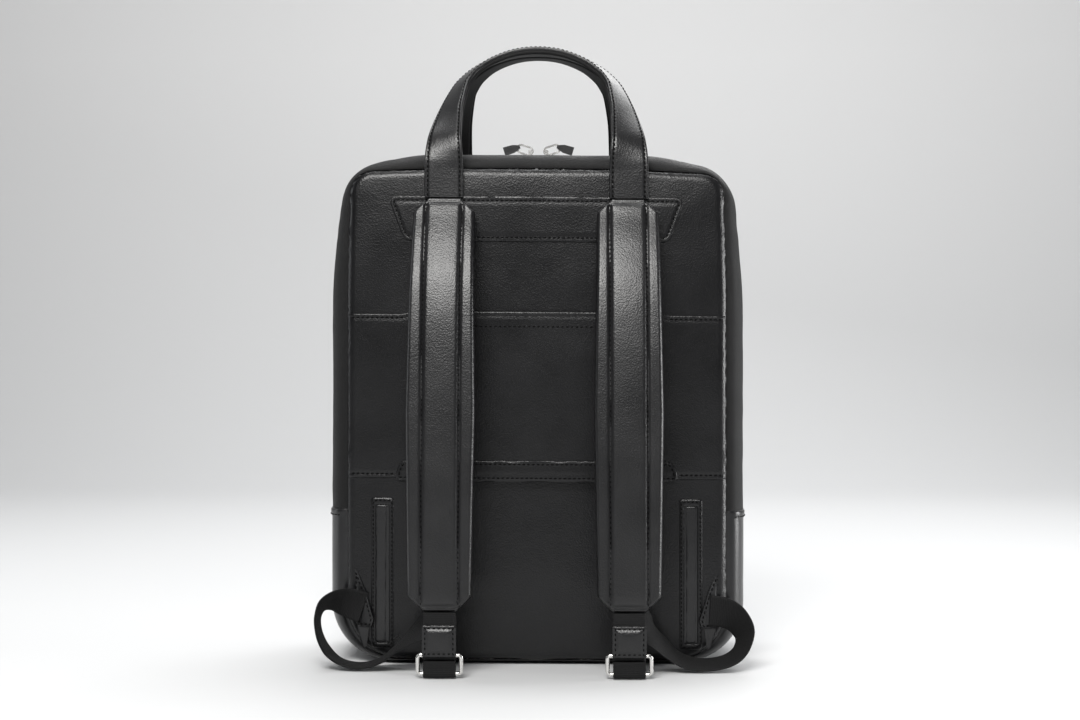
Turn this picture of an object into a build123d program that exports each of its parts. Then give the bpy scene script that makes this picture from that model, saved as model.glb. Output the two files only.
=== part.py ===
"""A leather backpack with two carry handles, two padded shoulder straps and a wrap-round zip.

Millimetres. The origin is the centre of the underside, +Z is up, the harness side faces -Y and
the outer side faces +Y. The bag stands on z = 0.
"""

import os
from math import cos, pi, sin

from build123d import *

os.makedirs("parts", exist_ok=True)

# Driving dimensions of the bag
HALF_WIDTH = 165.0
HEIGHT = 405.0
HALF_DEPTH = 60.0
WALL = 2.5
SIDE_INSET = 16.0  # the panels are this much narrower than the bulging gusset
FOOT_INSET = 4.0  # and this much higher at the foot
LIP = 2.0  # flat edge of the gusset that a panel is sewn to
ZIP_Z = 120.0  # the wrap-round zip ends here on both sides
LEATHER = 2.5
PANEL_FACE = HALF_DEPTH + LEATHER

# Driving dimensions of the harness
STRAP_X = 71.5
STRAP_WIDE = 52.0
STRAP_END = 47.0
STRAP_CUT = 11.5  # corners cut off the strap's ends
STRAP_TOP = 366.0
STRAP_FOOT = 50.5
STRAP_LEATHER, STRAP_FOAM, STRAP_LINING = 2.4, 4.6, 1.6
WEB_WIDE = 25.0
WEB_THICK = 1.6
BUCKLE_WIDE, BUCKLE_TALL, WIRE = 36.0, 17.0, 1.6

# Driving dimensions of the handles
HANDLE_X = 72.5
HANDLE_WIDE = 30.5
GRIP_WIDE = 17.0
HANDLE_PLY = 2.6
HANDLE_ROOT_Z = 389.0
GLUE = 0.02  # half the film between a handle's two plies
HANDLE_Y = PANEL_FACE + HANDLE_PLY + 2 * GLUE

RUN = 0.3  # clearance between pieces that move against each other


def save(piece, name):
    """Labels a finished piece and writes its STEP file."""
    piece.part.label = name
    export_step(piece.part, f"parts/{name}.step")


def face_plane(y):
    """A sketch plane parallel to the panels at this Y, with its normal towards the harness side."""
    return Plane(origin=(0, y, 0), x_dir=(1, 0, 0), z_dir=(0, -1, 0))


def sign_name(side):
    return "left" if side < 0 else "right"


# ------------------------------------------------------------------ the bag's walls


def bag_outline(inset, foot):
    """The bag seen from the harness side, drawn in by inset at the sides and top and by foot below.
    The sewn panels have squarer top corners than the bulging gusset round them."""
    w, h = HALF_WIDTH - inset, HEIGHT - inset
    square = min(1, inset / SIDE_INSET)
    right = [(w, foot), (w, 300), (w - 10 + 8 * square, h - 14 + 12.5 * square),
             (w - 68 - 11 * square, h + 2 * square)]
    radii = [48 - foot * 1.5, 380 - inset, 38 - 19 * square, 150 - inset]
    left = [(-x, z) for x, z in reversed(right)]
    with BuildLine() as outline:
        FilletPolyline(*right, *left, radius=radii + radii[::-1], close=True)
    return outline.line


def bag_face(y, inset, foot):
    with BuildSketch(face_plane(y)) as face:
        with BuildLine():
            add(bag_outline(inset, foot))
        make_face()
    return face.sketch


# Rounded edges of the bag: Y, side inset, foot inset, and the share of the wall taken off Y inside
EDGE = [(HALF_DEPTH, SIDE_INSET, FOOT_INSET, 1.0), (HALF_DEPTH - 6, 7.0, 1.5, 0.3),
        (HALF_DEPTH - 19, 0.0, 0.0, 0.0)]


def bag_solid(wall):
    """The closed outer shape of the bag, or the shape this far inside it."""
    rings = [(y - wall * share, inset + wall, foot + wall) for y, inset, foot, share in EDGE]
    stations = [(-y, inset, foot) for y, inset, foot in rings] + rings[::-1]
    with BuildPart() as solid:
        loft([bag_face(*station) for station in stations], ruled=True)
    return solid.part


def band(y_low, y_high, z_low, z_high):
    """A box across the whole bag between two depths and two heights."""
    with BuildPart(mode=Mode.PRIVATE) as block:
        with Locations((0, (y_low + y_high) / 2, (z_low + z_high) / 2)):
            Box(3 * HALF_WIDTH, y_high - y_low, z_high - z_low)
    return block.part


def ring(outer_inset, inner_inset, y_low, y_high):
    """A band of the straight middle of the gusset, between two insets, above the end of the zip."""
    with BuildPart() as part:
        with BuildSketch(face_plane(y_high)):
            with BuildLine():
                add(bag_outline(outer_inset, outer_inset))
            make_face()
            with BuildLine():
                add(bag_outline(inner_inset, inner_inset))
            make_face(mode=Mode.SUBTRACT)
        extrude(amount=y_high - y_low)
        add(band(-100, 100, ZIP_Z, 2 * HEIGHT), mode=Mode.INTERSECT)
    return part


outer_shape = bag_solid(0)
inner_shape = bag_solid(WALL)


def panel_plate(y_low, y_high, inset, foot):
    """A plate of the panel's outline between two depths."""
    with BuildPart() as plate:
        with BuildSketch(face_plane(y_high)):
            with BuildLine():
                add(bag_outline(inset, foot))
            make_face()
        extrude(amount=y_high - y_low)
    return plate


opening_inset, opening_foot = SIDE_INSET + LIP, FOOT_INSET + LIP
back_opening = panel_plate(-HALF_DEPTH - 1, -HALF_DEPTH + WALL + 3, opening_inset, opening_foot).part
front_opening = panel_plate(HALF_DEPTH - WALL - 3, HALF_DEPTH + 1, opening_inset, opening_foot).part


def gusset(y_low, y_high, z_low, z_high):
    """The part of the bag's side wall inside a band, open at the back and front panels."""
    with BuildPart() as wall:
        add(outer_shape)
        add(inner_shape, mode=Mode.SUBTRACT)
        add(back_opening, mode=Mode.SUBTRACT)
        add(front_opening, mode=Mode.SUBTRACT)
        add(band(y_low, y_high, z_low, z_high), mode=Mode.INTERSECT)
    return wall


CHAIN_HALF = 3.2
save(gusset(-HALF_DEPTH - 5, -CHAIN_HALF, ZIP_Z, 2 * HEIGHT), "gusset_back")
save(gusset(CHAIN_HALF, HALF_DEPTH + 5, ZIP_Z, 2 * HEIGHT), "gusset_front")
save(gusset(-HALF_DEPTH - 5, HALF_DEPTH + 5, -5, ZIP_Z - RUN), "base_gusset")

# Zip tapes lie inside the gusset, the teeth between its two halves
TAPE_HALF = 14.0
save(ring(WALL, WALL + 1, -TAPE_HALF, -RUN), "zip_tape_back")
save(ring(WALL, WALL + 1, RUN, TAPE_HALF), "zip_tape_front")
save(ring(0.2, WALL, -CHAIN_HALF + 0.2, -RUN), "zip_teeth_back")
save(ring(0.2, WALL, RUN, CHAIN_HALF - 0.2), "zip_teeth_front")

# ------------------------------------------------------------------ panels

with BuildPart() as back_panel:
    add(panel_plate(-PANEL_FACE, -HALF_DEPTH, SIDE_INSET, FOOT_INSET).part)
save(back_panel, "back_panel_leather")

FOAM = 6.0
pad_inset, pad_foot = opening_inset + 0.5, opening_foot + 0.5
save(panel_plate(-HALF_DEPTH, -HALF_DEPTH + FOAM, pad_inset + 2, pad_foot + 3), "back_panel_foam")
save(panel_plate(-HALF_DEPTH + FOAM, -HALF_DEPTH + FOAM + 1, pad_inset + 2, pad_foot + 3),
     "back_panel_lining")

front_plate = panel_plate(HALF_DEPTH, PANEL_FACE, SIDE_INSET, FOOT_INSET).part
with BuildPart() as front_panel_upper:
    add(front_plate)
    add(band(0, 100, ZIP_Z, 2 * HEIGHT), mode=Mode.INTERSECT)
save(front_panel_upper, "front_panel_upper")
with BuildPart() as front_panel_lower:
    add(front_plate)
    add(band(0, 100, -5, ZIP_Z - RUN), mode=Mode.INTERSECT)
save(front_panel_lower, "front_panel_lower")

# Trapezoid patch that ties the handle and strap roots together
PATCH_TOP, PATCH_FOOT = 368.0, 333.0


def root_patch(y):
    """The trapezoid patch, its back face at this Y."""
    with BuildPart() as patch:
        with BuildSketch(face_plane(y)):
            with BuildLine():
                FilletPolyline((-117, PATCH_TOP), (117, PATCH_TOP), (104, PATCH_FOOT), (-104, PATCH_FOOT),
                               radius=[5, 5, 9, 9], close=True)
            make_face()
        extrude(amount=1.5)
    return patch


save(root_patch(-PANEL_FACE), "root_patch_back")
save(root_patch(PANEL_FACE + 1.5), "root_patch_front")

# Luggage sleeve: a leather band sewn down at both sides, free in the middle
SLEEVE_TOP, SLEEVE_FOOT, SLEEVE_GAP = 276.0, 149.0, 6.5
SLEEVE_FREE, SLEEVE_SEWN = 86.0, 146.0
with BuildPart() as luggage_sleeve:
    with BuildSketch(Plane.XY.offset(SLEEVE_FOOT)):
        with BuildLine():
            face_y, free_y = -PANEL_FACE, -PANEL_FACE - SLEEVE_GAP
            inner = [(SLEEVE_SEWN, face_y), (SLEEVE_FREE + 12, face_y), (SLEEVE_FREE, free_y)]
            outer = [(SLEEVE_FREE + 2, free_y - 2), (SLEEVE_FREE + 14, face_y - 2),
                     (SLEEVE_SEWN, face_y - 2)]
            Polyline(*inner, *[(-x, y) for x, y in reversed(inner)],
                     *[(-x, y) for x, y in reversed(outer)], *outer, close=True)
        make_face()
    extrude(amount=SLEEVE_TOP - SLEEVE_FOOT)
save(luggage_sleeve, "luggage_sleeve")

# Upright strap pockets beside the luggage sleeve
SLOT_X, SLOT_LOW, SLOT_HIGH, SLOT_WIDE = 120.0, 16.0, 131.0, 19.0
for side in (-1, 1):
    with BuildPart() as slot_frame:
        with BuildSketch(face_plane(-PANEL_FACE)):
            with Locations((side * SLOT_X, (SLOT_LOW + SLOT_HIGH) / 2)):
                RectangleRounded(SLOT_WIDE, SLOT_HIGH - SLOT_LOW, 3)
                RectangleRounded(SLOT_WIDE - 8, SLOT_HIGH - SLOT_LOW - 8, 1, mode=Mode.SUBTRACT)
        extrude(amount=1.2)
    save(slot_frame, f"strap_pocket_frame_{sign_name(side)}")
    with BuildPart() as slot_welt:
        with BuildSketch(face_plane(-PANEL_FACE)):
            with Locations((side * SLOT_X + 0.8, (SLOT_LOW + SLOT_HIGH) / 2)):
                RectangleRounded(SLOT_WIDE - 10, SLOT_HIGH - SLOT_LOW - 9, 1)
        extrude(amount=1.6)
    save(slot_welt, f"strap_pocket_welt_{sign_name(side)}")

# Front pocket zip: leather frame, tape, teeth
POCKET_Z, POCKET_LONG = 300.0, 230.0
with BuildPart() as pocket_frame:
    with BuildSketch(face_plane(PANEL_FACE + 1.2)):
        with Locations((0, POCKET_Z)):
            RectangleRounded(POCKET_LONG, 20, 4)
            RectangleRounded(POCKET_LONG - 12, 10, 2, mode=Mode.SUBTRACT)
    extrude(amount=1.2)
save(pocket_frame, "pocket_frame")
with BuildPart() as pocket_tape:
    with BuildSketch(face_plane(PANEL_FACE + 0.6)):
        with Locations((0, POCKET_Z)):
            RectangleRounded(POCKET_LONG - 12.6, 9.4, 1.8)
    extrude(amount=0.6)
save(pocket_tape, "pocket_tape")
with BuildPart() as pocket_teeth:
    with BuildSketch(face_plane(PANEL_FACE + 1.8)):
        with Locations((0, POCKET_Z)):
            Rectangle(POCKET_LONG - 16, 4)
    extrude(amount=1.2)
save(pocket_teeth, "pocket_teeth")

# ------------------------------------------------------------------ inside

BOARD = 2.0
with BuildPart() as base_board:
    with Locations((0, 0, WALL + BOARD / 2 + 0.1)):
        Box(2 * (HALF_WIDTH - 55), 2 * (HALF_DEPTH - 19), BOARD)
save(base_board, "base_board")

DIVIDER_TOP, DIVIDER_Y = 290.0, -40.0
with BuildPart() as laptop_divider:
    with BuildSketch(face_plane(DIVIDER_Y + 5)):
        with BuildLine():
            w, low = HALF_WIDTH - 19, WALL + BOARD + 0.2
            FilletPolyline((w, low + 8), (w, DIVIDER_TOP), (-w, DIVIDER_TOP), (-w, low + 8), (-w + 38, low),
                           (w - 38, low), radius=[20, 10, 10, 20, 20, 20], close=True)
        make_face()
    extrude(amount=5)
save(laptop_divider, "laptop_divider")

# ------------------------------------------------------------------ bands that bend and twist


def ribbon(points, widths, wide, thick, offset=0.0):
    """A flat band along points. Widths gives its width direction at each point, and offset moves it
    across its thickness."""
    points = [Vector(*point) for point in points]
    sections = []
    for i, (point, across, size) in enumerate(zip(points, widths, wide)):
        along = (points[min(i + 1, len(points) - 1)] - points[max(i - 1, 0)]).normalized()
        across = Vector(*across)
        across = (across - along * across.dot(along)).normalized()
        centre = point + along.cross(across) * offset
        with BuildSketch(Plane(origin=centre, x_dir=across, z_dir=along)) as section:
            Rectangle(size, thick)
        sections.append(section.sketch)
    with BuildPart() as part:
        loft(sections, ruled=True)
    return part


# Centre line of half a handle from its root to the top: X, height, and how far it has turned
HANDLE_ARCH = [(72.5, 389, 0), (72.5, 398, 0), (71.5, 419, 25), (68.2, 439.5, 46), (62.5, 459, 64),
               (57, 468.3, 70), (49.5, 476, 76), (37, 484, 82), (19, 490.2, 87), (0, 492, 90)]
GRIP_Y = GRIP_WIDE / 2 + 0.9  # the two grips lie side by side


def handle_stations(face):
    """Points, width directions and widths of a handle. Face is -1 on the harness side, 1 on the outer."""
    points, widths, wide = [], [], []
    for i, (x, z, turn) in enumerate(HANDLE_ARCH):
        share = max(0, z - HANDLE_ARCH[1][1]) / (HANDLE_ARCH[-1][1] - HANDLE_ARCH[1][1])
        ease = share * share * (3 - 2 * share)
        y = face * (HANDLE_Y + (GRIP_Y - HANDLE_Y) * ease)
        before, after = HANDLE_ARCH[max(i - 1, 0)], HANDLE_ARCH[min(i + 1, len(HANDLE_ARCH) - 1)]
        run = Vector(after[0] - before[0], after[1] - before[1], 0)
        if i == len(HANDLE_ARCH) - 1:
            run = Vector(-1, 0, 0)
        inward = Vector(-run.Y, 0, run.X).normalized()  # in the arch's plane, towards its middle
        a = turn * pi / 180
        points.append((x, y, z))
        widths.append((inward.X * cos(a), face * sin(a), inward.Z * cos(a)))
        wide.append(HANDLE_WIDE + (GRIP_WIDE - HANDLE_WIDE) * turn / 90)
    mirror_points = [(-x, y, z) for x, y, z in points[:-1]]
    mirror_widths = [(-x, y, z) for x, y, z in widths[:-1]]
    return (points + mirror_points[::-1], widths + mirror_widths[::-1], wide + wide[:-1][::-1])


for face, name in ((-1, "back"), (1, "front")):
    stations, across, wide = handle_stations(face)
    out = -(HANDLE_PLY / 2 + GLUE) * face
    save(ribbon(stations, across, wide, HANDLE_PLY, out), f"handle_{name}_leather")
    save(ribbon(stations, across, [w - 2 for w in wide], HANDLE_PLY, -out), f"handle_{name}_lining")
    for side in (-1, 1):
        with BuildPart() as handle_root:
            with Locations((side * HANDLE_X, face * HANDLE_Y, (PATCH_TOP + HANDLE_ROOT_Z) / 2)):
                Box(HANDLE_WIDE, 2 * HANDLE_PLY + 4 * GLUE, HANDLE_ROOT_Z - PATCH_TOP - 2 * RUN)
        save(handle_root, f"handle_{name}_root_{sign_name(side)}")

# ------------------------------------------------------------------ shoulder straps

# Back face of a strap from its sewn top to its free foot: Y and height
STRAP_PATH = [(-65.2, 372), (-71, 352), (-83, 326), (-94, 295), (-101.5, 255), (-106.5, 205), (-110.5, 150),
              (-113, 100), (-115, 42)]
BUCKLE_Y = -118.5
BUCKLE_Z = 10.8


def strap_profile(near, far):
    """Side view of one layer of a strap, between two distances from its back face."""
    with BuildLine(mode=Mode.PRIVATE) as route:
        Spline(*STRAP_PATH)
    edge = route.edges()[0]
    lines = []
    for distance in (near, far):
        points = []
        for i in range(13):
            spot, along = edge @ (i / 12), edge % (i / 12)
            points.append((spot.X + along.Y * distance, spot.Y - along.X * distance))
        lines.append(points)
    return lines


def strap_layer(side, near, far):
    """One layer of a strap: its side view drawn out to its width, with the corners of the ends cut."""
    close, away = strap_profile(near, far)
    with BuildPart() as layer:
        with BuildSketch(Plane.YZ.offset(side * STRAP_X - STRAP_WIDE / 2)):
            with BuildLine():
                Spline(*close)
                Line(close[-1], away[-1])
                Spline(*away)
                Line(away[0], close[0])
            make_face()
        extrude(amount=STRAP_WIDE)
        with BuildSketch(face_plane(-60)):
            with BuildLine():
                half, end = STRAP_WIDE / 2, STRAP_END / 2
                right = [(end - STRAP_CUT, STRAP_FOOT), (end, STRAP_FOOT + STRAP_CUT), (half, 200),
                         (end, STRAP_TOP - STRAP_CUT), (end - STRAP_CUT, STRAP_TOP)]
                outline = right + [(-x, z) for x, z in reversed(right)]
                Polyline(*[(side * STRAP_X + x, z) for x, z in outline], close=True)
            make_face()
        extrude(amount=80, mode=Mode.INTERSECT)
    return layer


layers = [("lining", 0, STRAP_LINING), ("foam", STRAP_LINING, STRAP_LINING + STRAP_FOAM),
          ("leather", STRAP_LINING + STRAP_FOAM, STRAP_LINING + STRAP_FOAM + STRAP_LEATHER)]
WRAP = WIRE + 0.2  # inner radius of webbing round a buckle's bar
WRAP_OUT = WRAP + WEB_THICK
bar_low = BUCKLE_Z - BUCKLE_TALL / 2 + WIRE
bar_high = BUCKLE_Z + BUCKLE_TALL / 2 - WIRE

for side in (-1, 1):
    name = sign_name(side)
    for layer, near, far in layers:
        save(strap_layer(side, near, far), f"strap_{name}_{layer}")

    # Webbing tongue: from the strap's foot round the buckle's upper bar and back
    with BuildPart() as tongue:
        with BuildSketch(Plane.YZ.offset(side * STRAP_X - WEB_WIDE / 2)):
            with Locations((BUCKLE_Y, bar_high)):
                Circle(WRAP_OUT)
            with Locations((BUCKLE_Y, (bar_high + STRAP_FOOT) / 2)):
                Rectangle(2 * WRAP_OUT, STRAP_FOOT - bar_high)
            with Locations((BUCKLE_Y, bar_high)):
                Circle(WRAP, mode=Mode.SUBTRACT)
            with Locations((BUCKLE_Y, bar_high + 7.5)):
                Rectangle(2 * WRAP, 15, mode=Mode.SUBTRACT)
        extrude(amount=WEB_WIDE)
    save(tongue, f"strap_{name}_tongue")
    with BuildPart() as patch:
        with Locations((side * STRAP_X, BUCKLE_Y - WRAP_OUT - 0.8, bar_high + 14)):
            Box(WEB_WIDE + 1, 1.6, 20)
    save(patch, f"strap_{name}_patch")

    # Buckle: a rounded wire frame
    with BuildPart() as buckle:
        front = Plane(origin=(side * STRAP_X, BUCKLE_Y, BUCKLE_Z), x_dir=(1, 0, 0), z_dir=(0, -1, 0))
        with BuildLine(front) as frame:
            w, h = BUCKLE_WIDE / 2 - WIRE, BUCKLE_TALL / 2 - WIRE
            FilletPolyline((-w, -h), (w, -h), (w, h), (-w, h), radius=2.5, close=True)
        corner = frame.edges().sort_by(Axis.X)[0]
        with BuildSketch(Plane(origin=corner @ 0.5, z_dir=corner % 0.5)):
            Circle(WIRE)
        sweep(path=frame.wires()[0], transition=Transition.ROUND)
    save(buckle, f"buckle_{name}")

    # Webbing that hangs in the buckle's lower bar
    with BuildPart() as turn:
        with BuildSketch(Plane.YZ.offset(side * STRAP_X - WEB_WIDE / 2)):
            with Locations((BUCKLE_Y, bar_low)):
                Circle(WRAP_OUT)
            with Locations((BUCKLE_Y, bar_low + 3)):
                Rectangle(2 * WRAP_OUT, 6)
            with Locations((BUCKLE_Y, bar_low)):
                Circle(WRAP, mode=Mode.SUBTRACT)
            with Locations((BUCKLE_Y, bar_low + 3)):
                Rectangle(2 * WRAP, 6, mode=Mode.SUBTRACT)
        extrude(amount=WEB_WIDE)
    save(turn, f"webbing_turn_{name}")

    # Triangular tab sewn into the lower side seam, which holds the webbing's end
    with BuildPart() as tab:
        with BuildSketch(face_plane(-PANEL_FACE)):
            with BuildLine():
                corners = [(140, 78), (133.5, 58), (131.5, 32), (133, 15), (143, 26), (144, 60)]
                Polyline(*[(side * x, z) for x, z in corners], close=True)
            make_face()
        extrude(amount=2.2)
    save(tab, f"side_tab_{name}")

# Slack webbing from each tab, round on the floor and up behind the buckle: point and width direction
LOOPS = {
    "right": [
        ((136, -66.2, 44), (0, 0, 1)), ((147, -68, 43), (0.15, -0.15, 1)),
        ((156, -71, 38), (0.35, -0.4, 0.85)), ((162, -74.5, 28), (0.52, -0.69, 0.5)),
        ((160, -78, 18), (0.45, -0.88, 0.15)), ((154, -80.5, 11), (0.3, -0.94, -0.1)),
        ((145, -82, 6.8), (0.1, -0.97, -0.2)), ((134, -82.5, 5), (0, -1, -0.22)),
        ((122, -83, 5.5), (0, -1, -0.24)), ((111, -84.5, 9.5), (0.15, -0.9, -0.4)),
        ((100, -89, 19), (0.1, -0.8, -0.6)), ((90, -95.5, 29), (-0.1, -0.8, -0.55)),
        ((82.5, -100, 37.5), (-0.6, -0.6, -0.5)), ((76.5, -103, 43), (-0.9, -0.25, -0.3)),
        ((73, -106.5, 45.8), (-1, 0, -0.1)), ((71.5, -110.5, 45), (-1, 0, 0)),
        ((71.5, -112.9, 38), (-1, 0, 0)), ((71.5, -113.6, 27), (-1, 0, 0)),
        ((71.5, -113.8, 15.5), (-1, 0, 0)), ((71.5, -115.2, 10.9), (-1, 0, 0))],
    "left": [
        ((-136, -66.2, 45), (0, 0, 1)), ((-148, -68.5, 49.5), (0, -0.3, 1)),
        ((-158.5, -71.5, 51.5), (0, -0.7, 0.7)), ((-166.5, -75, 48.5), (-0.05, -0.91, 0.4)),
        ((-170, -77.5, 40), (-0.02, -0.97, 0.22)), ((-169.5, -78.5, 30), (-0.06, -0.96, 0.27)),
        ((-166, -79.5, 20), (-0.18, -0.93, 0.3)), ((-159.5, -80.5, 11), (-0.25, -0.93, 0.2)),
        ((-150, -81.5, 5), (-0.1, -1, 0.05)), ((-138, -82, 2.8), (0, -1, 0)),
        ((-127, -83, 4.5), (0.05, -1, 0)), ((-117, -85, 9.5), (0.1, -1, 0)),
        ((-105.5, -90, 19.5), (0.15, -0.95, 0)), ((-93, -96.5, 30), (0.35, -0.85, -0.1)),
        ((-83, -101.5, 38), (0.65, -0.7, -0.1)), ((-76.5, -104, 43.5), (0.9, -0.35, -0.1)),
        ((-73, -107, 46), (1, 0, 0)), ((-71.5, -110.8, 45), (1, 0, 0)), ((-71.5, -112.9, 38), (1, 0, 0)),
        ((-71.5, -113.6, 27), (1, 0, 0)), ((-71.5, -113.8, 15.5), (1, 0, 0)),
        ((-71.5, -115.2, 10.9), (1, 0, 0))],
}
for name, stations in LOOPS.items():
    points, widths = zip(*stations)
    save(ribbon(points, widths, [WEB_WIDE - 1] * len(points), WEB_THICK), f"webbing_loop_{name}")

# ------------------------------------------------------------------ zip sliders and pulls

SLIDER_X, SLIDER_LONG, SLIDER_WIDE = 6.5, 12.0, 9.0
SLIDER_FOOT = HEIGHT + RUN
BAR_Z = SLIDER_FOOT + 6.1
RING_LONG, RING_TALL, RING_WIRE = 14.7, 8.0, 1.5
RING_REACH = 2.5  # from the bar's centre back to the ring's near end
RING_TILT, PULL_TILT = 18 * pi / 180, -17 * pi / 180
PULL_PATH = [(-2.3, 1.1), (0.6, 2.2), (3.5, 3.1), (11.5, 3.4)]  # distance from the ring's end, half width


def pull_plane(side, x, z, tilt):
    """A plane facing the harness side whose X axis points outwards, tilted up."""
    return Plane(origin=(x, 0, z), x_dir=(side * cos(tilt), 0, sin(tilt)), z_dir=(0, -1, 0))


for side in (-1, 1):
    name = sign_name(side)
    x = side * SLIDER_X
    with BuildPart() as body:
        with Locations((x, 0, SLIDER_FOOT + 1.2)):
            Box(SLIDER_LONG, SLIDER_WIDE, 2.4)
        fillet(body.edges().filter_by(Axis.Z), 2.5)
        with Locations((x, -2.6, SLIDER_FOOT + 4.6), (x, 2.6, SLIDER_FOOT + 4.6)):
            Box(3.2, 1.2, 5)
        with Locations(Location((x, 0, BAR_Z), (90, 0, 0))):
            Cylinder(0.8, 5)
    save(body, f"slider_{name}")

    ring_plane = pull_plane(side, x, BAR_Z, RING_TILT)
    ring_middle = RING_LONG / 2 - RING_REACH
    with BuildPart() as pull_ring:
        with BuildSketch(ring_plane):
            with Locations((ring_middle, 0)):
                SlotOverall(RING_LONG, RING_TALL)
                SlotOverall(RING_LONG - 2 * RING_WIRE, RING_TALL - 2 * RING_WIRE, mode=Mode.SUBTRACT)
        extrude(amount=0.8, both=True)
    save(pull_ring, f"pull_ring_{name}")

    end = RING_LONG - RING_REACH - RING_WIRE / 2
    end_x, end_z = x + side * end * cos(RING_TILT), BAR_Z + end * sin(RING_TILT)
    with BuildPart() as pull:
        with BuildSketch(pull_plane(side, end_x, end_z, PULL_TILT)):
            with BuildLine():
                Polyline(*PULL_PATH, *[(u, -v) for u, v in reversed(PULL_PATH)], close=True)
            make_face()
        extrude(amount=2.2, both=True)
        with BuildSketch(ring_plane):
            with Locations((ring_middle, 0)):
                SlotOverall(RING_LONG + 2 * RUN, RING_TALL + 2 * RUN)
                SlotOverall(RING_LONG - 2 * RING_WIRE - 2 * RUN, RING_TALL - 2 * RING_WIRE - 2 * RUN,
                            mode=Mode.SUBTRACT)
        extrude(amount=0.8 + RUN, both=True, mode=Mode.SUBTRACT)
    save(pull, f"pull_tab_{name}")

# Front pocket slider hangs its pull downwards
pocket_x, pocket_y = -POCKET_LONG / 2 + 22, PANEL_FACE + 1.8 + RUN
with BuildPart() as pocket_slider:
    with Locations((pocket_x, pocket_y + 1.0, POCKET_Z)):
        Box(10, 2, 7)
    fillet(pocket_slider.edges().filter_by(Axis.Y), 2)
    with Locations((pocket_x, pocket_y + 3.4, POCKET_Z)):
        Box(2.4, 3.4, 6)
    with Locations((pocket_x, pocket_y + 3.6, POCKET_Z)):
        Box(4, 2.2, 3.2, mode=Mode.SUBTRACT)
save(pocket_slider, "pocket_slider")
with BuildPart() as pocket_pull:
    with BuildSketch(face_plane(pocket_y + 4.3)):
        with Locations((pocket_x, POCKET_Z - 13.5)):
            RectangleRounded(7, 29, 3)
        with Locations((pocket_x, POCKET_Z - 3.7)):
            RectangleRounded(4, 6.6, 1.2, mode=Mode.SUBTRACT)
    extrude(amount=1.4)
save(pocket_pull, "pocket_pull")
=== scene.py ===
"""Looks of the leather backpack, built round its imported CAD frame.

Shapes are worked out in millimetres, in the frame's axes: +Z up, the harness side at -Y. The
making functions turn them into metres.
"""

from math import cos, pi, radians, sin

import bpy
import numpy as np
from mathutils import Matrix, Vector, noise


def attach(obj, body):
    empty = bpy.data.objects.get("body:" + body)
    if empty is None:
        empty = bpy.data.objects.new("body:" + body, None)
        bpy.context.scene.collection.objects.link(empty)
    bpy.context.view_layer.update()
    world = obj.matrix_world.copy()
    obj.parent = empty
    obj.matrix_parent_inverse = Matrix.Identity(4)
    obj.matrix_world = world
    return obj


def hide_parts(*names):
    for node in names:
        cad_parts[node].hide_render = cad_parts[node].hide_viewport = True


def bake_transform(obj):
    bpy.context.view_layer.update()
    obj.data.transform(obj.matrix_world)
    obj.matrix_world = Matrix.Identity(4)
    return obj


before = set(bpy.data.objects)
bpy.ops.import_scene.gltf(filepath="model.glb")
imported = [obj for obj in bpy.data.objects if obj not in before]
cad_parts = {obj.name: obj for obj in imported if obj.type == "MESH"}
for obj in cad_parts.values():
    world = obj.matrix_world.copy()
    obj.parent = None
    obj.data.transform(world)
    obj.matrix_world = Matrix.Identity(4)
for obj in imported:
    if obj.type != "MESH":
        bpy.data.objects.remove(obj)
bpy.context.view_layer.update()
MM = 0.001

# ------------------------------------------------------------------ measures of the bag, as in the CAD

HALF_WIDTH, HEIGHT, HALF_DEPTH = 165.0, 405.0, 60.0
SIDE_INSET, FOOT_INSET = 16.0, 4.0
ZIP_Z = 120.0
SLEEVE_LOW, SLEEVE_HIGH = 147.0, 275.5
STRAP_X, STRAP_HALF, STRAP_END, STRAP_CUT = 71.5, 26.4, 24.0, 11.5
STRAP_TOP, STRAP_FOOT = 366.0, 50.5
BUCKLE_Y, BAR_HIGH, BAR_LOW, WRAP = -118.5, 17.7, 3.9, 3.4
HANDLE_Y, HANDLE_TOP, GRIP_Y = 65.2, 492.0, 9.4
WEB_WIDE, WEB_THICK = 24.5, 1.5


# ------------------------------------------------------------------ materials


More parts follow.
